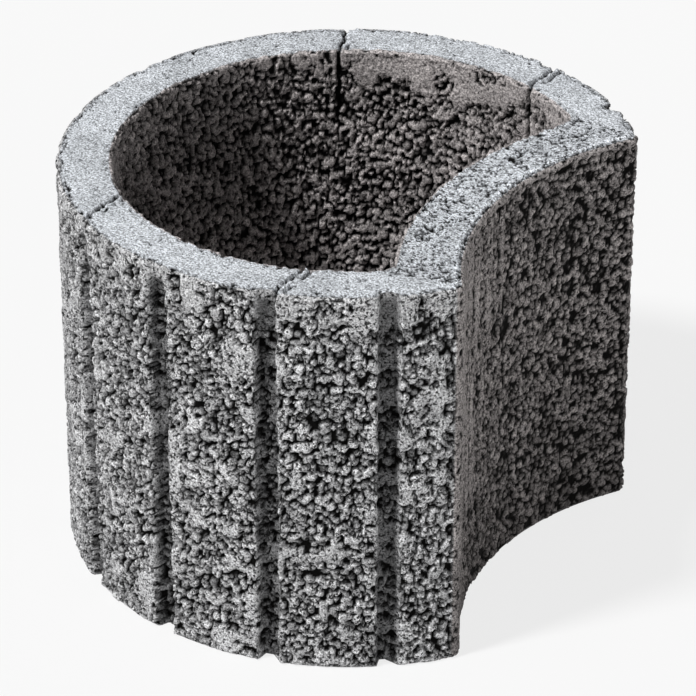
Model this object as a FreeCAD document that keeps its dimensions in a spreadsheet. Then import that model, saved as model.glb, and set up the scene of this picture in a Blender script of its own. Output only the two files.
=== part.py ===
"""Round concrete planter ring of the kind that nests into its neighbour, as one cast piece.

The ring stands on its flat base and is open at the top and the bottom. One side is
hollowed to take the round back of the next ring, and upright flutes run down the rest
of the outside. Sizes are in millimetres, +Z is up and the hollowed side faces +X.
"""
import FreeCAD
import Part
import Sketcher
import math
import os

SIZES = {
    "ring_diameter": 350.0,
    "ring_height": 250.0,
    "ring_wall": 34.0,
    "recess_radius": 184.0,
    "recess_offset": 289.0,
    "recess_wall": 40.0,
    "horn_rounding": 8.0,
    "well_rounding": 10.0,
    "arris_rounding": 2.0,
    "flute_count": 12,
    "flute_first_angle": 52.0,
    "flute_mouth_width": 13.0,
    "flute_floor_width": 10.0,
    "flute_depth": 7.0,
    "flute_overrun": 1.0,
}

NEAR = 0.01
WELL_SHARE = 0.5
FLUTE_SHARE = 0.9

# Sketcher's numbers for the points of a curve, and for a sketch's own axes.
START, END, CENTRE = 1, 2, 3
X_AXIS = -1
ORIGIN = (X_AXIS, START)


def make_sheet(doc):
    """Put every size on one sheet under a plain name."""
    sheet = doc.addObject("Spreadsheet::Sheet", "Sizes")
    for row, (name, value) in enumerate(SIZES.items(), start=1):
        sheet.set("A%d" % row, name)
        sheet.set("B%d" % row, str(value))
        sheet.setAlias("B%d" % row, name)
    doc.recompute()
    return sheet


def origin_part(body, role):
    """Return the plane or axis of the body's own origin that has this role."""
    for item in body.Origin.OriginFeatures:
        if item.Role == role:
            return item
    raise RuntimeError("the body has no origin part with the role " + role)


def add_sketch(body, name):
    """Add an empty sketch on the ring's base plane."""
    sketch = body.newObject("Sketcher::SketchObject", name)
    sketch.AttachmentSupport = (origin_part(body, "XY_Plane"), [""])
    sketch.MapMode = "FlatFace"
    return sketch


def constrain(sketch, name, size, *arguments):
    """Add a named constraint that takes its size from the sheet."""
    index = sketch.addConstraint(Sketcher.Constraint(*arguments))
    sketch.renameConstraint(index, name)
    sketch.setExpression("Constraints." + name, size)


def crossing(round_radius, hollow_radius, offset):
    """Where a circle about the ring's axis meets one about the recess centre."""
    x = (round_radius ** 2 - hollow_radius ** 2 + offset ** 2) / (2.0 * offset)
    return x, math.sqrt(round_radius ** 2 - x ** 2)


def draw_notched_circle(sketch, radius, radius_size, hollow, hollow_size, offset):
    """Draw a circle about the ring's axis with one side bitten in by a second arc."""
    x, y = crossing(radius, hollow, offset)
    centre = FreeCAD.Vector(0, 0, 0)
    hollow_centre = FreeCAD.Vector(offset, 0, 0)
    up = FreeCAD.Vector(0, 0, 1)
    half_round = math.atan2(y, x)
    half_hollow = math.atan2(y, offset - x)
    round_arc = Part.ArcOfCircle(Part.Circle(centre, up, radius),
                                 half_round, 2.0 * math.pi - half_round)
    hollow_arc = Part.ArcOfCircle(Part.Circle(hollow_centre, up, hollow),
                                  math.pi - half_hollow, math.pi + half_hollow)
    first = sketch.addGeometry(round_arc, False)
    second = sketch.addGeometry(hollow_arc, False)
    sketch.addConstraint(Sketcher.Constraint("Coincident", first, CENTRE, *ORIGIN))
    sketch.addConstraint(Sketcher.Constraint("PointOnObject", second, CENTRE, X_AXIS))
    sketch.addConstraint(Sketcher.Constraint("Coincident", first, START, second, START))
    sketch.addConstraint(Sketcher.Constraint("Coincident", first, END, second, END))
    constrain(sketch, "round_radius", radius_size, "Radius", first, radius)
    constrain(sketch, "hollow_radius", hollow_size, "Radius", second, hollow)
    constrain(sketch, "hollow_offset", "Sizes.recess_offset",
              "DistanceX", *ORIGIN, second, CENTRE, offset)


def add_outline(body, sheet):
    """Raise the full height of the ring from its round outline with the recess."""
    sketch = add_sketch(body, "Outline")
    draw_notched_circle(sketch, sheet.ring_diameter / 2.0, "Sizes.ring_diameter / 2",
                        sheet.recess_radius, "Sizes.recess_radius", sheet.recess_offset)
    block = body.newObject("PartDesign::Pad", "Block")
    block.Profile = sketch
    block.setExpression("Length", "Sizes.ring_height")
    body.Document.recompute()
    return block


def add_well(body, sheet):
    """Open the planting well from top to bottom, bulged in where the recess is."""
    sketch = add_sketch(body, "WellOutline")
    draw_notched_circle(sketch, sheet.ring_diameter / 2.0 - sheet.ring_wall,
                        "Sizes.ring_diameter / 2 - Sizes.ring_wall",
                        sheet.recess_radius + sheet.recess_wall,
                        "Sizes.recess_radius + Sizes.recess_wall", sheet.recess_offset)
    well = body.newObject("PartDesign::Pocket", "Well")
    well.Profile = sketch
    well.Type = "ThroughAll"
    well.Reversed = True
    body.Document.recompute()
    return well


def upright_edges(shape, height):
    """Names of the straight edges that run the ring's full height."""
    found = []
    for index, edge in enumerate(shape.Edges, start=1):
        ends = [vertex.Point for vertex in edge.Vertexes]
        if len(ends) == 2 and abs(abs(ends[0].z - ends[1].z) - height) < NEAR:
            found.append(("Edge%d" % index, ends[0]))
    return found


def add_rounding(body, base, name, edge_names, size):
    """Round the named edges of a feature."""
    rounding = body.newObject("PartDesign::Fillet", name)
    rounding.Base = (base, edge_names)
    rounding.setExpression("Radius", size)
    body.Document.recompute()
    return rounding


def add_corner_roundings(body, base, sheet):
    """Round the two horns beside the recess, then the two corners of the well."""
    outer = sheet.ring_diameter / 2.0
    inner = outer - sheet.ring_wall
    horns = [name for name, point in upright_edges(base.Shape, sheet.ring_height)
             if abs(math.hypot(point.x, point.y) - outer) < NEAR and abs(point.y) > NEAR]
    base = add_rounding(body, base, "HornRounding", horns, "Sizes.horn_rounding")
    corners = [name for name, point in upright_edges(base.Shape, sheet.ring_height)
               if abs(math.hypot(point.x, point.y) - inner) < NEAR and abs(point.y) > NEAR]
    return add_rounding(body, base, "WellRounding", corners, "Sizes.well_rounding")


def add_arris_rounding(body, base, sheet):
    """Ease every edge of the top rim and of the base."""
    names = []
    for index, edge in enumerate(base.Shape.Edges, start=1):
        box = edge.BoundBox
        level = box.ZMax - box.ZMin < NEAR
        at_end = box.ZMax < NEAR or box.ZMin > sheet.ring_height - NEAR
        if level and at_end:
            names.append("Edge%d" % index)
    return add_rounding(body, base, "ArrisRounding", names, "Sizes.arris_rounding")


def draw_flute(sketch, sheet):
    """Draw the flute's section, a trapezium that narrows toward the ring's axis."""
    outer = sheet.ring_diameter / 2.0
    mouth_x = outer + sheet.flute_overrun
    floor_x = outer - sheet.flute_depth
    half_floor = sheet.flute_floor_width / 2.0
    half_mouth = sheet.flute_mouth_width / 2.0
    corners = [FreeCAD.Vector(floor_x, -half_floor, 0), FreeCAD.Vector(mouth_x, -half_mouth, 0),
               FreeCAD.Vector(mouth_x, half_mouth, 0), FreeCAD.Vector(floor_x, half_floor, 0)]
    for index in range(4):
        line = Part.LineSegment(corners[index], corners[(index + 1) % 4])
        sketch.addGeometry(line, False)
    for index in range(4):
        joint = Sketcher.Constraint("Coincident", index, END, (index + 1) % 4, START)
        sketch.addConstraint(joint)
    lower, mouth, upper = 0, 1, 2
    sketch.addConstraint(Sketcher.Constraint("Symmetric", lower, START, upper, END, X_AXIS))
    sketch.addConstraint(Sketcher.Constraint("Symmetric", mouth, START, mouth, END, X_AXIS))
    constrain(sketch, "floor_width", "Sizes.flute_floor_width",
              "DistanceY", lower, START, upper, END, sheet.flute_floor_width)
    constrain(sketch, "mouth_width", "Sizes.flute_mouth_width",
              "DistanceY", mouth, START, mouth, END, sheet.flute_mouth_width)
    constrain(sketch, "floor_reach", "Sizes.ring_diameter / 2 - Sizes.flute_depth",
              "DistanceX", *ORIGIN, lower, START, floor_x)
    constrain(sketch, "mouth_reach", "Sizes.ring_diameter / 2 + Sizes.flute_overrun",
              "DistanceX", *ORIGIN, mouth, START, mouth_x)


def add_flutes(body, sheet):
    """Cut one upright flute beside a horn and repeat it round the back of the ring."""
    sketch = add_sketch(body, "FluteSection")
    turn = FreeCAD.Rotation(FreeCAD.Vector(0, 0, 1), sheet.flute_first_angle)
    sketch.AttachmentOffset = FreeCAD.Placement(FreeCAD.Vector(0, 0, 0), turn)
    sketch.setExpression(".AttachmentOffset.Rotation.Angle", "Sizes.flute_first_angle * 1 deg")
    draw_flute(sketch, sheet)
    flute = body.newObject("PartDesign::Pocket", "Flute")
    flute.Profile = sketch
    flute.Type = "ThroughAll"
    flute.Reversed = True
    body.Document.recompute()
    flutes = body.newObject("PartDesign::PolarPattern", "Flutes")
    flutes.Originals = [flute]
    flutes.Axis = (origin_part(body, "Z_Axis"), [""])
    flutes.setExpression("Angle", "(360 - 2 * Sizes.flute_first_angle) * 1 deg")
    flutes.setExpression("Occurrences", "Sizes.flute_count")
    body.Tip = flutes
    body.Document.recompute()
    return flutes


def require(condition, message):
    """Stop with a plain message when something about the ring is wrong."""
    if not condition:
        raise RuntimeError(message)


def check_cut(before, after, least, name):
    """Stop if a cut took away less than it should."""
    require(before.Volume - after.Volume > least, name + " cuts too little")


def make_ring(doc, sheet):
    """Build the planter ring as one body."""
    body = doc.addObject("PartDesign::Body", "planter_ring")
    body.Label = "planter_ring"
    block = add_outline(body, sheet)
    well = add_well(body, sheet)
    inner = sheet.ring_diameter / 2.0 - sheet.ring_wall
    bore = math.pi * inner ** 2 * sheet.ring_height
    check_cut(block.Shape, well.Shape, WELL_SHARE * bore, "well")
    rounded = add_corner_roundings(body, well, sheet)
    eased = add_arris_rounding(body, rounded, sheet)
    flutes = add_flutes(body, sheet)
    section = sheet.flute_floor_width * sheet.flute_depth
    grooves = section * sheet.ring_height * sheet.flute_count
    check_cut(eased.Shape, flutes.Shape, FLUTE_SHARE * grooves, "flutes")
    box = flutes.Shape.optimalBoundingBox(False, False)
    centre_x = (box.XMin + box.XMax) / 2.0
    body.Placement = FreeCAD.Placement(FreeCAD.Vector(-centre_x, 0, 0), FreeCAD.Rotation())
    doc.recompute()
    return body


def check_document(doc):
    """Stop if any object failed to build or any solid is broken."""
    for item in doc.Objects:
        bad = [word for word in item.State if word in ("Invalid", "Error")]
        require(not bad, item.Name + " did not build")
        if hasattr(item, "Shape"):
            require(not item.Shape.isNull(), item.Name + " is empty")
            require(item.Shape.isValid(), item.Name + " is not a valid shape")


def export_parts(bodies):
    """Write each piece to its own file, named after it."""
    os.makedirs("parts", exist_ok=True)
    for body in bodies:
        shape = body.Shape
        require(len(shape.Solids) == 1, body.Label + " is not one solid")
        box = shape.optimalBoundingBox(False, False)
        print(body.Label, "volume %.1f mm3" % shape.Volume,
              "x %.3f %.3f" % (box.XMin, box.XMax), "y %.3f %.3f" % (box.YMin, box.YMax),
              "z %.3f %.3f" % (box.ZMin, box.ZMax), "shift %.4f" % body.Placement.Base.x)
        shape.exportStep("parts/" + body.Label + ".step")


def main():
    """Build, check and write the planter ring."""
    doc = FreeCAD.newDocument("PlanterRing")
    sheet = make_sheet(doc)
    ring = make_ring(doc, sheet)
    check_document(doc)
    export_parts([ring])


main()
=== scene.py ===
"""A round planter ring cast in open-textured concrete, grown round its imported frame.

The ring is one cast piece. Its skin is a closed grid that runs up the outside, over the rim,
down the well and under the base. Grains of aggregate are packed over that grid and raise it
into rounded lumps with deep gaps between them, while the rim and a few patches below it keep
the smooth skin that the mould leaves. The grid is cut into wedges only to keep each mesh small.
"""

import math

import bpy
import numpy as np
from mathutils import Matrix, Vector


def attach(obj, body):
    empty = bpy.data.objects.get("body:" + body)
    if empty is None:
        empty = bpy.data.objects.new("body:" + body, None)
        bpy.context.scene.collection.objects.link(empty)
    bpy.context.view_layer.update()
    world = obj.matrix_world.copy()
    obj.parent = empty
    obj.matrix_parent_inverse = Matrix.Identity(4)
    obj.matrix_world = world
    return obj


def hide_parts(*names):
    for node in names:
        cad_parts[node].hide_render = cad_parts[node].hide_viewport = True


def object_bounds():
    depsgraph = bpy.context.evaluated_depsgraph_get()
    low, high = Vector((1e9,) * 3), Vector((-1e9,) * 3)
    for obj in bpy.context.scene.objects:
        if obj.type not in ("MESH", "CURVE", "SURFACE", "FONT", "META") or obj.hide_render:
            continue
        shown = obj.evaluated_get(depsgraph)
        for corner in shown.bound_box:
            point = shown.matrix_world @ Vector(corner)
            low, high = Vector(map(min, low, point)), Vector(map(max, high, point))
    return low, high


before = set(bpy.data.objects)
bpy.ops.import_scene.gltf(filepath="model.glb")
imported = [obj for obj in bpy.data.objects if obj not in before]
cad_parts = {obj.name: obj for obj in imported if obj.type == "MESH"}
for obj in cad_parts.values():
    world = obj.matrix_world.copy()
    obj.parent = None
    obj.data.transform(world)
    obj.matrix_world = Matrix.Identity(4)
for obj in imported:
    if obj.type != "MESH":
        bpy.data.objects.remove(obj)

bl_info = {
    "name": "Planter ring",
    "version": (1, 0, 0),
    "blender": (4, 5, 0),
    "location": "View3D > Sidebar > Planter",
    "description": "Grows an open-textured concrete planter ring round its frame",
    "category": "Add Mesh",
}

NODE = "planter_ring"
CAD_LOW, CAD_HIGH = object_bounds()
RING_RADIUS = (CAD_HIGH.y - CAD_LOW.y) / 2
RING_HEIGHT = CAD_HIGH.z - CAD_LOW.z
AXIS_X = CAD_LOW.x + RING_RADIUS
MM = 0.001
OUTSIDE, RIM, WELL, BASE = range(4)


# ---------------------------------------------------------------- sizes and colours

class RingSizes(bpy.types.PropertyGroup):
    """Sizes of the cast ring, before its grain is raised."""
    wall: bpy.props.FloatProperty(
        name="Wall", description="Thickness of the round wall",
        default=34 * MM, unit="LENGTH")
    recess_radius: bpy.props.FloatProperty(
        name="Recess radius", description="Radius of the hollow that takes the next ring",
        default=184 * MM, unit="LENGTH")
    recess_offset: bpy.props.FloatProperty(
        name="Recess offset", description="From the ring's axis to the centre of the hollow",
        default=289 * MM, unit="LENGTH")
    recess_wall: bpy.props.FloatProperty(
        name="Recess wall", description="Thickness of the wall behind the hollow",
        default=40 * MM, unit="LENGTH")
    horn_rounding: bpy.props.FloatProperty(
        name="Horn rounding", description="Radius of the two corners beside the hollow",
        default=8 * MM, unit="LENGTH")
    well_rounding: bpy.props.FloatProperty(
        name="Well rounding", description="Radius of the two corners of the well",
        default=10 * MM, unit="LENGTH")
    arris: bpy.props.FloatProperty(
        name="Arris", description="Radius of the worn edges of the rim and base",
        default=2.5 * MM, unit="LENGTH")
    flute_count: bpy.props.IntProperty(
        name="Flutes", description="Upright flutes round the back", default=12)
    flute_first: bpy.props.FloatProperty(
        name="First flute", description="Angle from the hollow to the first flute",
        default=math.radians(52), unit="ROTATION")
    flute_width: bpy.props.FloatProperty(
        name="Flute width", description="Width of a flute at half its depth",
        default=11.5 * MM, unit="LENGTH")
    flute_depth: bpy.props.FloatProperty(
        name="Flute depth", description="Depth of a flute",
        default=7 * MM, unit="LENGTH")
    seed: bpy.props.IntProperty(
        name="Seed", description="Number that the grain is drawn from", default=11)


class RingColours(bpy.types.PropertyGroup):
    """Colours of the concrete, and the painted shade of its gaps and pits."""
    wall: bpy.props.FloatVectorProperty(
        name="Wall", description="Grains of the outside", subtype="COLOR", size=3,
        default=(0.545, 0.545, 0.552))
    rim: bpy.props.FloatVectorProperty(
        name="Rim", description="Smooth cement skin of the rim", subtype="COLOR", size=3,
        default=(0.60, 0.625, 0.66))
    recess: bpy.props.FloatVectorProperty(
        name="Recess", description="Damp, browner face of the hollow", subtype="COLOR", size=3,
        default=(0.355, 0.329, 0.322))
    well: bpy.props.FloatVectorProperty(
        name="Well", description="Grains inside the well", subtype="COLOR", size=3,
        default=(0.47, 0.436, 0.43))
    # Painted shade: the near-black colour laid into the gaps and pits between grains.
    gap: bpy.props.FloatVectorProperty(
        name="Gap", description="Shade at the bottom of the gaps between grains",
        subtype="COLOR", size=3, default=(0.004, 0.0037, 0.0034))


# ---------------------------------------------------------------- numbers

def smooth(low, high, value):
    """0 below low, 1 above high and a smooth ramp between."""
    share = np.clip((value - low) / (high - low), 0.0, 1.0)
    return share * share * (3.0 - 2.0 * share)


class Noise:
    """Smooth random numbers in space, the same each time for the same seed."""
    SIDE = 48

    def __init__(self, seed):
        self.lattice = np.random.default_rng(seed).uniform(-1, 1, (self.SIDE,) * 3)

    def at(self, points, size, stretch=(1, 1, 1)):
        """Values from -1 to 1 at the points, with lumps of about the given size."""
        spot = points / (size * np.array(stretch)) + 0.5 * self.SIDE
        whole = np.floor(spot).astype(int)
        part = spot - whole
        part = part * part * (3.0 - 2.0 * part)
        total = np.zeros(points.shape[:-1])
        for corner in np.ndindex(2, 2, 2):
            weight = np.ones(points.shape[:-1])
            for axis in range(3):
                side = part[..., axis]
                weight = weight * (side if corner[axis] else 1.0 - side)
            index = (whole + corner) % self.SIDE
            total += weight * self.lattice[index[..., 0], index[..., 1], index[..., 2]]
        return total


# ---------------------------------------------------------------- the plain ring

def notched_circle(radius, hollow, offset, rounding, shares):
    """Points and normals of a circle with one side hollowed, from the hollow's middle to its back.

    shares holds three lists of numbers from 0 to 1: how far along half of the hollow, along its
    rounded corner and along half of the circle each point lies.
    """
    centre_x = ((radius - rounding) ** 2 - (hollow + rounding) ** 2 + offset ** 2) / (2 * offset)
    centre_y = math.sqrt((radius - rounding) ** 2 - centre_x ** 2)
    horn = math.atan2(centre_y, centre_x)
    spread = math.atan2(centre_y, offset - centre_x)

    def around(angle):
        return np.stack([np.cos(angle), np.sin(angle)], 1)

    inward = around(math.pi - spread * shares[0])
    corner = around(-spread + (horn + spread) * shares[1])
    outward = around(horn + (math.pi - horn) * shares[2])
    points = [np.array([offset, 0]) + hollow * inward,
              np.array([centre_x, centre_y]) + rounding * corner,
              radius * outward]
    return np.concatenate(points), np.concatenate([-inward, corner, outward])


def closed(half):
    """Half an outline followed by its mirror image across the ring's own middle line."""
    return np.concatenate([half, half[-2:0:-1] * np.array([1, -1])])


def flute_angles(sizes):
    """Angles of the flutes on one half of the ring."""
    pitch = (2 * math.pi - 2 * sizes.flute_first) / (sizes.flute_count - 1)
    return [sizes.flute_first + pitch * index for index in range(sizes.flute_count // 2)]


def column_shares(sizes, spacing):
    """Where the upright columns of the grid stand, closer together on the flanks of the flutes."""
    hollow_arc = sizes.recess_radius * 0.6
    corner_arc = sizes.horn_rounding * 1.3
    horn = 0.64
    flank, crowding = 1.5 * MM, 1.8
    fine = np.linspace(horn, math.pi, 20000)
    density = np.ones_like(fine)
    for angle in flute_angles(sizes):
        away = np.abs(np.abs(fine - angle) * RING_RADIUS - sizes.flute_width / 2)
        density += crowding * (away < flank)
    total = np.cumsum(density)
    count = int(total[-1] / len(fine) * (math.pi - horn) * RING_RADIUS / spacing)
    wanted = np.linspace(0, total[-1], count + 1)
    in_round = (np.interp(wanted, total, fine) - horn) / (math.pi - horn)
    in_round[0] = 0
    in_hollow = np.linspace(0, 1, int(hollow_arc / spacing) + 1)[:-1]
    in_corner = np.linspace(0, 1, int(corner_arc / spacing) + 2)[:-1]
    return in_hollow, in_corner, in_round


def row_plan(sizes, spacing):
    """The rows of the grid: the surface each lies on, its place there, its height and its tilt.

    The tilt runs from level outward (0) to straight up (90 degrees).
    """
    top = RING_HEIGHT
    well_spacing = spacing * 1.15
    base_rows = 9
    arc = [math.radians(angle) for angle in (15, 45, 75)]

    def edge(surface, turns, upper):
        """The rounded edge that joins an upright surface to the rim or to the base."""
        made = []
        for turn in turns:
            inset = sizes.arris * (1 - math.cos(turn))
            drop = sizes.arris * (1 - math.sin(turn))
            made.append((surface, inset, top - drop if upper else drop, turn if upper else -turn))
        return made

    climb = np.linspace(sizes.arris, top - sizes.arris, int(top / spacing))
    across = np.linspace(0, 1, int(sizes.wall / spacing) + 1)
    down = np.linspace(top - sizes.arris, sizes.arris, int(top / well_spacing))
    under = np.linspace(0, 1, base_rows)
    rows = [(OUTSIDE, 0.0, z, 0.0) for z in climb]
    rows += edge(OUTSIDE, arc, True)
    rows += [(RIM, share, top, math.pi / 2) for share in across]
    rows += edge(WELL, arc[::-1], True)
    rows += [(WELL, 0.0, z, 0.0) for z in down]
    rows += edge(WELL, arc, False)
    rows += [(BASE, share, 0.0, -math.pi / 2) for share in under]
    rows += edge(OUTSIDE, arc[::-1], False)
    return np.array(rows)


class PlainRing:
    """The smooth ring as a grid that closes on itself both ways."""

    def __init__(self, sizes, noise, spacing):
        shares = column_shares(sizes, spacing)
        half, half_normal = notched_circle(
            RING_RADIUS, sizes.recess_radius, sizes.recess_offset, sizes.horn_rounding, shares)
        inner, inner_normal = notched_circle(
            RING_RADIUS - sizes.wall, sizes.recess_radius + sizes.recess_wall,
            sizes.recess_offset, sizes.well_rounding, shares)
        outer, outer_normal = closed(half), closed(half_normal)
        inner, inner_normal = closed(inner), -closed(inner_normal)
        rows = row_plan(sizes, spacing)
        self.surface = rows[:, 0].astype(int)
        place, height, turn = rows[:, 1], rows[:, 2], rows[:, 3]
        self.shape = (len(rows), len(outer))
        hollow_columns = len(shares[0]) + len(shares[1])
        self.in_hollow = np.zeros(self.shape[1], bool)
        self.in_hollow[:hollow_columns] = True
        self.in_hollow[-hollow_columns + 1:] = True
        self.azimuth = np.arctan2(outer[:, 1], outer[:, 0])
        self.groove = self.grooves(sizes, noise, height)
        standing = (self.surface == OUTSIDE) | (self.surface == WELL)
        inset = np.where(standing, place, sizes.arris)[:, None, None]
        outer_edge = outer[None] - outer_normal[None] * (inset + self.groove[..., None])
        inner_edge = inner[None] - inner_normal[None] * inset
        share = np.where(self.surface == RIM, place, 1 - place)
        share = np.where(self.surface == OUTSIDE, 0.0,
                         np.where(self.surface == WELL, 1.0, share))
        flat = outer_edge + (inner_edge - outer_edge) * share[:, None, None]
        upright = np.where((share < 0.5)[:, None, None], outer_normal[None], inner_normal[None])
        self.place = np.zeros(self.shape + (3,))
        self.place[..., :2] = flat
        self.place[..., 2] = height[:, None]
        self.normal = np.zeros_like(self.place)
        self.normal[..., :2] = upright * np.cos(turn)[:, None, None]
        self.normal[..., 2] = np.sin(turn)[:, None]
        self.turn_into_grooves()
        self.share = share
        self.height = height

    def turn_into_grooves(self):
        """Lean the normals on the flanks of the flutes half way over to face across the groove."""
        along = np.roll(self.place, -1, 1) - np.roll(self.place, 1, 1)
        upward = np.roll(self.place, -1, 0) - np.roll(self.place, 1, 0)
        true = np.cross(along, upward)
        true /= np.linalg.norm(true, axis=2, keepdims=True) + 1e-12
        both = self.normal + true * (self.surface == OUTSIDE)[:, None, None]
        self.normal = both / np.linalg.norm(both, axis=2, keepdims=True)

    def grooves(self, sizes, noise, height):
        """Depth of the flutes at every row and column, with their tops partly filled."""
        depth = np.zeros(self.shape)
        self.rib_edge = np.zeros(self.shape)
        half_width = sizes.flute_width / 2
        flank, bridge_ramp = 1.1 * MM, 7 * MM
        sample = np.zeros((len(height), 3))
        sample[:, 2] = height
        for index, angle in enumerate(flute_angles(sizes)):
            for side in (1, -1):
                away = np.abs(self.azimuth * side - angle) * RING_RADIUS
                sample[:, :2] = index + 0.3, side * 3.7
                uneven = noise.at(sample, 9 * MM)
                ragged = 0.6 * MM * noise.at(sample + 2, 5 * MM)
                ragged = ragged + 0.35 * MM * noise.at(sample + 4, 2.4 * MM)
                away = away[None] + ragged[:, None]
                shape = 1 - smooth(half_width - flank, half_width + flank, away)
                filled = min(0.25 + 0.3 * index, 0.85)
                bridge = RING_HEIGHT - (9 + 3 * min(index, 2)) * MM
                top = smooth(bridge, bridge + bridge_ramp, height + 2.5 * MM * uneven)
                reach = 1 - filled * top
                depth += sizes.flute_depth * reach[:, None] * shape
                self.rib_edge += smooth(6 * MM, 1.5 * MM, np.abs(away - half_width - 2 * MM))
        return depth


# ---------------------------------------------------------------- grain

class Skin:
    """The raised surface of the ring: how far each grid point stands out, and how it looks.

    SCARS gives each crack's turn round the ring in degrees and its slant. BEDS is how deep the
    bed between the grains lies, in the hollow and elsewhere. WINDOW is how many grid points a
    grain may reach. SQUARENESS and BLUNTNESS are powers that shape a grain's outline and top,
    WIDER its breadth against its length, LEAN its steepest tilt and DOME its height against
    its radius.
    """
    SCARS = ((-74, 0.0), (74, 0.0), (-121.3, 0.0), (121.3, 0.4))
    BEDS = (-1.9 * MM, -3.2 * MM)
    WINDOW = 6
    SQUARENESS = 2.8
    BLUNTNESS = 3.4
    WIDER = 1.15
    LEAN = 0.22
    DOME = 0.8
    NOWHERE = -1.0

    def __init__(self, ring, noise):
        self.ring = ring
        bed = np.where(ring.in_hollow & (ring.surface == OUTSIDE)[:, None], *self.BEDS)
        self.rise = bed + 0.5 * MM * noise.at(ring.place, 5 * MM)
        self.tone = np.full(ring.shape, 0.5)
        self.clearance = np.full(ring.shape, 1.0)
        level = np.cross([0.0, 0.0, 1.0], ring.normal)
        length = np.linalg.norm(level, axis=2, keepdims=True)
        self.level = np.where(length > 0.2, level / np.maximum(length, 1e-9), [1.0, 0.0, 0.0])
        self.climb = np.cross(ring.normal, self.level)
        step_row = np.linalg.norm(np.roll(ring.place, -1, 0) - ring.place, axis=2)
        step_column = np.linalg.norm(np.roll(ring.place, -1, 1) - ring.place, axis=2)
        self.area = step_row * step_column

    def pack(self, rng, low, high, overlap, share, weight, sink, stretch=1.0):
        """Throw grains of one size range at the skin and keep those that find room.

        share is how many are thrown per grain that would fit, weight says where, sink how far
        their tops may lie below the mould's face, and stretch how much they run up and down.
        """
        chance = (self.area * weight).ravel()
        mean = math.pi * ((low + high) / 2) ** 2
        count = int(share * chance.sum() / mean)
        picks = rng.choice(chance.size, size=count, p=chance / chance.sum())
        radii = rng.uniform(low, high, count)
        tops = -sink * rng.random(count) ** 2.2
        tones = rng.random(count)
        turns = rng.uniform(0, math.pi, count)
        leans = rng.uniform(-self.LEAN, self.LEAN, count)
        rows, columns = self.ring.shape
        reach = np.arange(-self.WINDOW, self.WINDOW + 1)
        for pick, radius, top, tone, turn, lean in zip(picks, radii, tops, tones, turns, leans):
            row, column = divmod(int(pick), columns)
            if self.clearance[row, column] < radius * (1 - overlap):
                continue
            window = np.ix_((row + reach) % rows, (column + reach) % columns)
            away = self.bent[window] - self.bent[row, column]
            level = away @ self.level[row, column]
            climb = away @ self.climb[row, column] / stretch
            one = level * math.cos(turn) + climb * math.sin(turn)
            two = (climb * math.cos(turn) - level * math.sin(turn)) * self.WIDER
            power = self.SQUARENESS
            distance = (np.abs(one) ** power + np.abs(two) ** power) ** (1 / power)
            self.clearance[window] = np.minimum(self.clearance[window], distance - radius)
            inside = np.clip(1 - (distance / radius) ** self.BLUNTNESS, 0, 1)
            dome = top - self.DOME * radius * (1 - np.sqrt(inside)) + lean * one
            dome[inside <= 0] = self.NOWHERE
            higher = dome > self.rise[window]
            self.rise[window] = np.where(higher, dome, self.rise[window])
            self.tone[window] = np.where(higher, tone, self.tone[window])

    def zones(self):
        """Shares from 0 to 1 that say which part of the ring each grid point belongs to."""
        ring = self.ring
        surface = ring.surface[:, None]
        hollow = ring.in_hollow[None]
        outside = (surface == OUTSIDE) & (ring.height[:, None] > 0)
        self.recess = (outside & hollow).astype(float)
        self.wall = (outside & ~hollow).astype(float)
        self.rim = np.broadcast_to(surface == RIM, ring.shape).astype(float)
        self.well = np.broadcast_to(surface == WELL, ring.shape).astype(float)
        self.base = np.broadcast_to(surface == BASE, ring.shape).astype(float)
        self.below_top = np.broadcast_to(RING_HEIGHT - ring.height[:, None], ring.shape)

    def fill_with_grain(self, rng, noise):
        """Pack coarse stone where it shows, then smaller stone and grit into what is left.

        A last packing fills the face of the hollow, which has the closest grain.
        """
        points = self.ring.place
        bend = np.stack([noise.at(points + place, 3.4 * MM) for place in (1, 2, 3)], 2)
        crook = np.stack([noise.at(points + place, 1.7 * MM) for place in (4, 5, 6)], 2)
        self.bent = points + 1.35 * MM * bend + 0.7 * MM * crook
        patchy = 0.5 + 0.5 * noise.at(points + 3, 26 * MM)
        fresh = smooth(8 * MM, 26 * MM, self.below_top)
        deep_well = smooth(25 * MM, 75 * MM, self.below_top + 14 * MM * noise.at(points, 20 * MM))
        coarse = self.wall * (0.25 + 0.75 * patchy) * (0.15 + 0.85 * fresh) + self.well * deep_well
        everywhere = self.wall + self.well + self.base
        medium = 0.3 * everywhere + 0.7 * coarse + 0.9 * self.recess
        for low, high, overlap, share, weight, sink, stretch in (
                (2.0, 3.8, 0.32, 1.0, coarse + 0.6 * self.recess, 1.8, 1.0),
                (1.4, 2.1, 0.36, 1.8, medium, 1.7, 1.15),
                (1.0, 1.8, 0.36, 1.5, everywhere + self.recess, 1.9, 1.15),
                (1.3, 2.1, 0.42, 5.0, self.recess, 1.6, 1.1)):
            self.pack(rng, low * MM, high * MM, overlap, share, weight, sink * MM, stretch)

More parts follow.
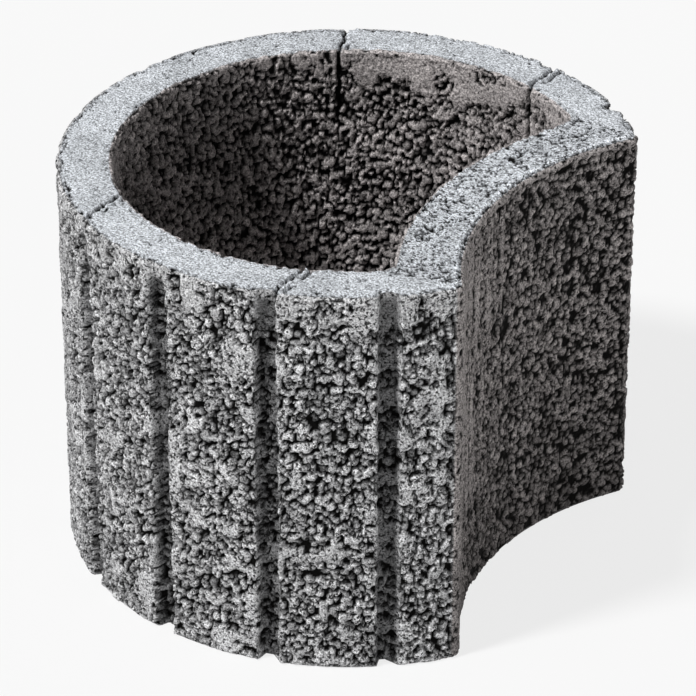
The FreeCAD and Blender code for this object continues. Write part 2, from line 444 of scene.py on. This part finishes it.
    def press_against_mould(self, noise):
        """Flatten the outermost grain, then lay the smooth cement skin where the mould left it."""
        ring, points = self.ring, self.ring.place
        face = -0.45 * MM + 0.45 * MM * noise.at(points, 9 * MM)
        self.rise = np.minimum(self.rise, face + 0.3 * MM * noise.at(points + 5, 3 * MM))
        self.rise += 0.22 * MM * noise.at(points, 1.8 * MM)
        share = ring.groove / ring.groove.max()
        flank = 4 * share * (1 - share)
        self.rise = self.rise * (1 - 0.75 * flank) - 0.8 * MM * flank
        broad = noise.at(points + 11, 13 * MM) + 0.5 * noise.at(points + 5, 5 * MM)
        drip = noise.at(points + 13, 14 * MM, (1, 1, 3))
        near_top = np.maximum(0.50 + 0.45 * drip - self.below_top / (28 * MM), -0.38)
        near_top += 0.22 * ring.rib_edge
        self.skin = self.wall * smooth(0.0, 0.3, 1.2 * broad + near_top)
        shaded = smooth(-0.25 * RING_RADIUS, -0.6 * RING_RADIUS, points[..., 0])
        band = 0.85 - self.below_top / (50 * MM) - 0.8 * shaded
        self.skin += self.well * 0.9 * smooth(-0.1, 0.5, broad + np.maximum(band, -0.7))
        to_horn = points[..., 1] + 0.6 * RING_RADIUS
        streak = noise.at(points, 5 * MM, (1, 1, 9)) - 0.35 * smooth(0, 90 * MM, self.below_top)
        self.skin += self.recess * smooth(0.2, 0.8, 1.2 - to_horn / (95 * MM) + 0.7 * streak)
        self.skin += self.recess * smooth(5 * MM, 2.5 * MM, self.below_top)
        self.skin += self.rim
        self.skin = np.clip(self.skin + self.base, 0, 1)
        # How thickly small pits are strewn: the material dents them into its bump and darkens them
        # with painted shade.
        pocked = 0.5 + 0.6 * noise.at(points + 8, 11 * MM)
        self.pits = np.clip(self.rim * (0.15 + 0.3 * pocked + 0.6 * ring.in_hollow[None])
                            + self.wall * (0.6 + 0.7 * pocked) + self.recess * 0.75
                            + self.well * (0.1 + 0.6 * pocked), 0, 1)
        level = 0.16 * MM * noise.at(points, 6 * MM) + 0.09 * MM * noise.at(points, 2 * MM)
        level = level - 0.1 * MM
        blotch = 0.3 * noise.at(points + 7, 3.2 * MM) + 0.22 * noise.at(points + 1, 9 * MM)
        blotch = 0.58 + blotch * (1 - 0.5 * self.rim)
        self.tone = self.tone * (1 - self.skin) + blotch * self.skin
        self.rise = self.rise * (1 - self.skin) + np.maximum(level, self.rise * 0.2) * self.skin

    def wear_rim(self, noise):
        """Pit the rim, crumble its edges and raise the thin lip along the hollow."""
        ring, points = self.ring, self.ring.place
        across = ring.share[:, None]
        hollow = ring.in_hollow[None] * 1.0
        round_width, hollow_width = 34, 40
        fine = noise.at(points, 2.3 * MM) + 0.4 * noise.at(points + 2, 1.2 * MM)
        many = 0.40 * hollow + 0.26 * noise.at(points + 9, 16 * MM) + 0.12 * self.wall
        pits = smooth(0.72, 0.92, fine + many) * (0.4 + 0.6 * np.clip(self.skin, 0, 1))
        pits = pits * (self.rim + 0.9 * self.wall + 0.8 * self.well + 0.7 * self.recess)
        self.rise -= 1.3 * MM * pits
        edge = np.minimum(across, 1 - across) * round_width * MM
        crumble = smooth(4.0 * MM, 0.5 * MM, edge + 3.2 * MM * noise.at(points, 6 * MM))
        crumble = crumble * np.where(across > 0.5, 0.4, 1.0)
        rough = np.abs(noise.at(points, 2.1 * MM)) + 0.5 * np.abs(noise.at(points + 4, 1.1 * MM))
        self.rise -= self.rim * crumble * 1.8 * MM * smooth(0.25, 0.8, rough)
        inner = self.rim * smooth(2.2 * MM, 0.4 * MM, (1 - across) * round_width * MM)
        inner += self.well * smooth(3.5 * MM, 2 * MM, self.below_top)
        self.rise += inner * (0.9 * MM * noise.at(points + 3, 3 * MM) + 0.25 * MM)
        from_hollow = across * hollow_width * MM
        lip = smooth(1.2 * MM, 2.6 * MM, from_hollow) * smooth(6 * MM, 3.4 * MM, from_hollow)
        self.rise += self.rim * hollow * lip * 0.9 * MM * (1 + 0.4 * noise.at(points, 5 * MM))
        self.tone += self.rim * hollow * (0.45 * lip + 0.05)
        # Painted shade: the face of the hollow grows darker towards its bottom.
        self.tone -= self.recess * 0.35 * smooth(120 * MM, 250 * MM, self.below_top)

    def cut_bar_scars(self, noise):
        """Ragged cracks at the four places where the mould's core bars crossed the rim."""
        points = self.ring.place
        fade = self.below_top + 10 * MM * noise.at(points, 9 * MM)
        near_top = self.rim + self.well * smooth(56 * MM, 44 * MM, fade)
        near_top += self.wall * smooth(9 * MM, 3 * MM, self.below_top)
        wander = 2.0 * MM * noise.at(points * [0, 1, 1] + 1, 7 * MM)
        wander = wander + 0.6 * MM * noise.at(points * [0, 1, 1], 2.2 * MM)
        broken = smooth(-1.0, -0.35, noise.at(points + 6, 5 * MM))
        fainter = smooth(-0.4, 0.1, noise.at(points + 9, 6 * MM)) * self.rim
        for turn, slant in self.SCARS:
            start_x = RING_RADIUS * math.cos(math.radians(turn))
            start_y = RING_RADIUS * math.sin(math.radians(turn))
            inward = (start_y - points[..., 1]) * math.copysign(1, start_y)
            here = near_top * (inward < 60 * MM)
            away = points[..., 0] - start_x - slant * inward + wander
            crack = smooth(1.9 * MM, 0.8 * MM, np.abs(away)) * broken
            second = smooth(1.6 * MM, 0.7 * MM, np.abs(away - 5.5 * MM)) * fainter
            crumbs = smooth(6.0 * MM, 3.0 * MM, np.abs(away - 2 * MM)) * here * (
                self.rim + self.wall)
            self.rise += crumbs * (0.3 * MM + 1.3 * MM * noise.at(points, 2.4 * MM))
            self.rise -= here * np.maximum(crack, second) * 3.0 * MM
            self.tone = np.where(crumbs > 0.3, 0.35 + 0.5 * self.tone, self.tone)
            self.skin = self.skin * (1 - 0.7 * crumbs)

    def finish(self):
        """Work out how deep each point lies between its neighbours as the mask of painted shade in
        the gaps, take the flutes' depth for their painted shade, and keep the base flat.
        """
        mean = self.rise.copy()
        reach = 3
        for axis in (0, 1):
            mean = sum(np.roll(mean, step, axis)
                       for step in range(-reach, reach + 1)) / (2 * reach + 1)
        # Painted shade: points lying below their neighbours get a mask that darkens them towards
        # the gap colour.
        below = np.maximum(mean - self.rise, 0) * 1.4 - self.rise * 0.5
        below = below * (1 + 0.35 * self.recess + 0.12 * self.well)
        self.gap = smooth(0.45 * MM, 1.15 * MM, below)
        self.flute = self.ring.groove / self.ring.groove.max() * self.wall
        low = self.ring.height[:, None] < 1.2 * MM
        self.rise = np.where(low & (self.base > 0), np.minimum(self.rise, 0) * 0.3, self.rise)

    def points(self):
        """Where the grid points stand once raised, in the row's frame."""
        raised = self.ring.place + self.ring.normal * self.rise[..., None]
        raised[..., 0] += AXIS_X
        raised[..., 2] = np.maximum(raised[..., 2], 0.0)
        return raised


def make_wedge(name, skin, points, first, last, material):
    """One closed wedge of the ring between two columns of the grid."""
    rows, columns = skin.ring.shape
    span = np.arange(first, last + 1)
    width = len(span)
    take = np.ix_(np.arange(rows), span % columns)
    index = np.arange(rows * width).reshape(rows, width)
    above = np.roll(index, -1, 0)
    quads = np.stack([index[:, :-1], index[:, 1:], above[:, 1:], above[:, :-1]], 2).reshape(-1, 4)
    faces = quads.tolist() + [index[:, 0].tolist(), index[::-1, -1].tolist()]
    mesh = bpy.data.meshes.new(name)
    mesh.from_pydata(points[take].reshape(-1, 3), [], faces)
    smooth_faces = np.ones(len(faces), bool)
    smooth_faces[-2:] = False
    mesh.polygons.foreach_set("use_smooth", smooth_faces)
    for word in ("gap", "tone", "pits", "rim", "recess", "well", "flute"):
        layer = mesh.attributes.new(word, "FLOAT", "POINT")
        layer.data.foreach_set("value", getattr(skin, word)[take].astype(np.float32).ravel())
    add_bake_map(mesh, rows, width, len(quads))
    mesh.materials.append(material)
    piece = bpy.data.objects.new(name, mesh)
    bpy.context.scene.collection.objects.link(piece)
    return piece


def add_bake_map(mesh, rows, width, quad_count):
    """Lay the wedge's grid out flat as a map, with its two cut ends in a strip at the side."""
    grid_share, strip_width = 0.94, 0.02
    row, column = np.divmod(np.arange(quad_count), width - 1)
    corner_row = np.stack([row, row, row + 1, row + 1], 1) / rows
    corner_column = np.stack([column, column + 1, column + 1, column], 1) / (width - 1)
    flat = np.zeros((len(mesh.loops), 2), np.float32)
    flat[:quad_count * 4, 0] = grid_share * corner_column.ravel()
    flat[:quad_count * 4, 1] = corner_row.ravel()
    for turn, start in enumerate((0.945, 0.975)):
        loops = np.arange(rows) + quad_count * 4 + turn * rows
        ends = [mesh.vertices[mesh.loops[int(loop)].vertex_index].co for loop in loops]
        flat[loops, 1] = [end.z / RING_HEIGHT * 0.98 + 0.01 for end in ends]
        reach = np.array([math.hypot(end.x - AXIS_X, end.y) for end in ends])
        flat[loops, 0] = start + strip_width * (reach - reach.min()) / np.ptp(reach)
    layer = mesh.uv_layers.new(name="OFBake")
    layer.uv.foreach_set("vector", flat.ravel())


# ---------------------------------------------------------------- finish

class Shades:
    """Makes and joins the nodes of one material."""

    def __init__(self, name):
        self.material = bpy.data.materials.new(name)
        self.material.use_nodes = True
        self.tree = self.material.node_tree
        self.shader = self.tree.nodes["Principled BSDF"]
        self.place = self.add("ShaderNodeTexCoord").outputs["Object"]

    def add(self, kind, **settings):
        """A new node of one kind, with its settings."""
        node = self.tree.nodes.new(kind)
        for key, value in settings.items():
            setattr(node, key, value)
        return node

    def put(self, value, socket):
        """Join an output to a socket, or set the socket to a plain value."""
        if isinstance(value, bpy.types.NodeSocket):
            self.tree.links.new(value, socket)
        else:
            socket.default_value = value

    def layer(self, name):
        """A value painted on the mesh."""
        return self.add("ShaderNodeAttribute", attribute_name=name).outputs["Fac"]

    def math(self, operation, first, second=0.0, third=0.0):
        """The result of one sum on up to three values."""
        node = self.add("ShaderNodeMath", operation=operation)
        for value, socket in zip((first, second, third), node.inputs):
            self.put(value, socket)
        return node.outputs[0]

    def noise(self, size, detail=2.0, roughness=0.55):
        """Cloudy values from 0 to 1, with lumps of one size."""
        node = self.add("ShaderNodeTexNoise")
        self.put(self.place, node.inputs["Vector"])
        self.put(1.0 / size, node.inputs["Scale"])
        self.put(detail, node.inputs["Detail"])
        self.put(roughness, node.inputs["Roughness"])
        return node.outputs["Fac"]

    def grains(self, size):
        """Distance from the middle of the nearest cell, with cells of one size."""
        node = self.add("ShaderNodeTexVoronoi")
        self.put(self.place, node.inputs["Vector"])
        self.put(1.0 / size, node.inputs["Scale"])
        return node.outputs["Distance"]

    def ramp(self, value, low, high, bottom=0.0, top=1.0):
        """Bottom where the value is low, top where it is high and a smooth ramp between."""
        node = self.add("ShaderNodeMapRange", interpolation_type="SMOOTHSTEP")
        for number, socket in zip((value, low, high, bottom, top), node.inputs):
            self.put(number, socket)
        return node.outputs[0]

    def mix(self, share, first, second, blend="MIX"):
        """Two colours blended."""
        node = self.add("ShaderNodeMix", data_type="RGBA", blend_type=blend)
        self.put(share, node.inputs["Factor"])
        self.put(first, node.inputs[6])
        self.put(second, node.inputs[7])
        return node.outputs[2]

    def grey(self, value):
        """A value as a grey colour."""
        node = self.add("ShaderNodeCombineColor")
        for socket in node.inputs:
            self.put(value, socket)
        return node.outputs[0]


def concrete(colours):
    """Open-textured concrete: pale cement skin, grey stone, painted shade in the gaps, pits and
    flutes, and a fine gritty tooth.
    """
    shades = Shades("open_concrete")
    opaque = [tuple(colour) + (1.0,) for colour in
              (colours.wall, colours.rim, colours.recess, colours.well, colours.gap)]
    wall, rim, recess, well, gap = opaque
    colour = shades.mix(shades.layer("rim"), wall, rim)
    colour = shades.mix(shades.layer("recess"), colour, recess)
    colour = shades.mix(shades.layer("well"), colour, well)
    stone = shades.math("MULTIPLY_ADD", shades.layer("tone"), 0.70, 0.66)
    # Painted shade: the flute floors are darkened in step with their depth, standing in for the
    # shadow inside them.
    painted_flute_shade = shades.math("MULTIPLY_ADD", shades.layer("flute"), -0.68, 1.0)
    stone = shades.math("MULTIPLY", stone, painted_flute_shade)
    stained = shades.ramp(shades.noise(38 * MM, detail=3.0), 0.3, 0.7, bottom=0.90, top=1.10)
    grit = shades.ramp(shades.noise(1.2 * MM, roughness=0.7), 0.33, 0.67, bottom=0.42, top=1.6)
    shade = shades.math("MULTIPLY", shades.math("MULTIPLY", stone, stained), grit)
    colour = shades.mix(1.0, colour, shades.grey(shade), "MULTIPLY")
    # Painted shade: small pits, strewn as the pits layer says, are darkened to the gap colour
    # along with the gaps; the bump below also dents them in.
    chance = shades.math("MULTIPLY_ADD", shades.layer("pits"), 0.17, -0.73)
    pit_dents_and_shade = shades.ramp(shades.math("ADD", shades.noise(1.9 * MM), chance), 0.0, 0.035)
    painted_shade = shades.math("MAXIMUM", shades.layer("gap"), shades.math("MULTIPLY", pit_dents_and_shade, 0.9))
    colour = shades.mix(painted_shade, colour, gap)
    shades.put(colour, shades.shader.inputs["Base Color"])
    shades.put(0.93, shades.shader.inputs["Roughness"])
    shades.put(0.08, shades.shader.inputs["Specular IOR Level"])
    fine = shades.math("ADD", shades.noise(1.3 * MM, detail=3.0, roughness=0.6),
                       shades.math("MULTIPLY", shades.grains(2.4 * MM), 0.8))
    height = shades.math("SUBTRACT", fine, shades.math("MULTIPLY", pit_dents_and_shade, 1.2))
    bump = shades.add("ShaderNodeBump")
    shades.put(1.0, bump.inputs["Strength"])
    shades.put(0.7 * MM, bump.inputs["Distance"])
    shades.put(height, bump.inputs["Height"])
    shades.put(bump.outputs["Normal"], shades.shader.inputs["Normal"])
    return shades.material


def studio_white(name, plain, shown):
    """A stage surface of a plain level, shown to the camera as white by a share that leaves
    the shadow in place.
    """
    shades = Shades(name)
    tree = shades.tree
    shades.put((plain, plain, plain, 1.0), shades.shader.inputs["Base Color"])
    shades.put(1.0, shades.shader.inputs["Roughness"])
    shades.put(0.0, shades.shader.inputs["Specular IOR Level"])
    glow = shades.add("ShaderNodeEmission")
    path = shades.add("ShaderNodeLightPath")
    seen = shades.math("MAXIMUM", path.outputs["Is Camera Ray"], path.outputs["Is Glossy Ray"])
    share = shades.math("MULTIPLY", seen, shown)
    mixed = shades.add("ShaderNodeMixShader")
    shades.put(share, mixed.inputs[0])
    tree.links.new(shades.shader.outputs[0], mixed.inputs[1])
    tree.links.new(glow.outputs[0], mixed.inputs[2])
    tree.links.new(mixed.outputs[0], tree.nodes["Material Output"].inputs[0])
    return shades.material


# ---------------------------------------------------------------- operators

class MakeRing(bpy.types.Operator):
    """Grow the concrete planter ring"""
    bl_idname = "planter.make_ring"
    bl_label = "Planter ring"
    spacing = 1.16 * MM
    wedges = 6

    def execute(self, context):
        sizes = context.scene.planter_sizes
        noise = Noise(sizes.seed)
        rng = np.random.default_rng(sizes.seed)
        ring = PlainRing(sizes, noise, self.spacing)
        skin = Skin(ring, noise)
        skin.zones()
        skin.fill_with_grain(rng, noise)
        skin.press_against_mould(noise)
        skin.wear_rim(noise)
        skin.cut_bar_scars(noise)
        skin.finish()
        material = concrete(context.scene.planter_colours)
        points = skin.points()
        cuts = np.linspace(0, ring.shape[1], self.wedges + 1).astype(int)
        for number, (first, last) in enumerate(zip(cuts, cuts[1:]), start=1):
            piece = make_wedge("ring_wedge_%d" % number, skin, points, first, last, material)
            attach(piece, "root")
            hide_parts(NODE)
        return {"FINISHED"}


class MakeStage(bpy.types.Operator):
    """Lay the pale floor, hang the lamps and stand the camera"""
    bl_idname = "planter.make_stage"
    bl_label = "Stage"
    camera_turn = math.radians(30.7)
    camera_rise = math.radians(30.2)
    camera_reach = 2.4
    camera_lens = 203.0
    floor_reach = 12.0
    floor_colour = 0.8
    floor_shown = 0.8
    room_light = 0.155
    room_shown = 1.0

    def execute(self, context):
        scene = context.scene
        floor_mesh = bpy.data.meshes.new("floor")
        side = self.floor_reach
        corners = [(-side, -side, 0), (side, -side, 0), (side, side, 0), (-side, side, 0)]
        floor_mesh.from_pydata(corners, [], [(0, 1, 2, 3)])
        floor_mesh.materials.append(studio_white(
            "studio_floor", self.floor_colour, self.floor_shown))
        floor = bpy.data.objects.new("floor", floor_mesh)
        scene.collection.objects.link(floor)
        self.light(scene)
        self.stand_camera(scene)
        scene.view_settings.view_transform = "Standard"
        return {"FINISHED"}

    def light(self, scene):
        """A soft key lamp from the upper left, a weak fill and an even pale room."""
        across = Vector((math.cos(self.camera_turn), math.sin(self.camera_turn), 0))
        toward = Vector((math.sin(self.camera_turn), -math.cos(self.camera_turn), 0))
        up = Vector((0, 0, 1))
        for name, strength, angle, source in (
                ("key", 2.8, 9, up * 1.25 + toward * 0.42 - across * 0.80),
                ("fill", 0.55, 20, up * 0.06 + toward * 0.75 + across * 0.65)):
            lamp = bpy.data.lights.new(name, "SUN")
            lamp.energy = strength
            lamp.angle = math.radians(angle)
            holder = bpy.data.objects.new(name, lamp)
            holder.rotation_euler = (-source).to_track_quat("-Z", "Y").to_euler()
            scene.collection.objects.link(holder)
        world = bpy.data.worlds.new("room")
        world.use_nodes = True
        scene.world = world
        tree = world.node_tree
        back = tree.nodes["Background"]
        path = tree.nodes.new("ShaderNodeLightPath")
        seen = tree.nodes.new("ShaderNodeMath")
        seen.operation = "MAXIMUM"
        tree.links.new(path.outputs["Is Camera Ray"], seen.inputs[0])
        tree.links.new(path.outputs["Is Glossy Ray"], seen.inputs[1])
        level = tree.nodes.new("ShaderNodeMapRange")
        tree.links.new(seen.outputs[0], level.inputs[0])
        level.inputs[3].default_value = self.room_light
        level.inputs[4].default_value = self.room_shown
        tree.links.new(level.outputs[0], back.inputs["Strength"])
        back.inputs["Color"].default_value = (1, 1, 1, 1)

    def stand_camera(self, scene):
        """A long lens above the near horn, aimed a little under the ring's middle."""
        aim = Vector((AXIS_X - 1.4 * MM, 0, RING_HEIGHT / 2 - 8.5 * MM))
        level = math.cos(self.camera_rise)
        away = Vector((math.sin(self.camera_turn) * level,
                       -math.cos(self.camera_turn) * level, math.sin(self.camera_rise)))
        camera = bpy.data.cameras.new("camera")
        camera.lens = self.camera_lens
        camera.sensor_width = 36.0
        camera.clip_end = 60.0
        holder = bpy.data.objects.new("camera", camera)
        holder.location = aim + away * self.camera_reach
        holder.rotation_euler = (-away).to_track_quat("-Z", "Y").to_euler()
        scene.collection.objects.link(holder)
        scene.camera = holder


class PlanterPanel(bpy.types.Panel):
    """Sizes and colours of the planter ring"""
    bl_idname = "VIEW3D_PT_planter_ring"
    bl_label = "Planter ring"
    bl_space_type = "VIEW_3D"
    bl_region_type = "UI"
    bl_category = "Planter"

    def draw(self, context):
        for group in (context.scene.planter_sizes, context.scene.planter_colours):
            for name in group.__annotations__:
                self.layout.prop(group, name)
        self.layout.operator(MakeRing.bl_idname)
        self.layout.operator(MakeStage.bl_idname)


CLASSES = (RingSizes, RingColours, MakeRing, MakeStage, PlanterPanel)


def register():
    for made in CLASSES:
        bpy.utils.register_class(made)
    bpy.types.Scene.planter_sizes = bpy.props.PointerProperty(type=RingSizes)
    bpy.types.Scene.planter_colours = bpy.props.PointerProperty(type=RingColours)


def unregister():
    del bpy.types.Scene.planter_colours
    del bpy.types.Scene.planter_sizes
    for made in reversed(CLASSES):
        bpy.utils.unregister_class(made)


def main():
    register()
    bpy.ops.planter.make_stage()
    bpy.ops.planter.make_ring()


if __name__ == "__main__":
    main()
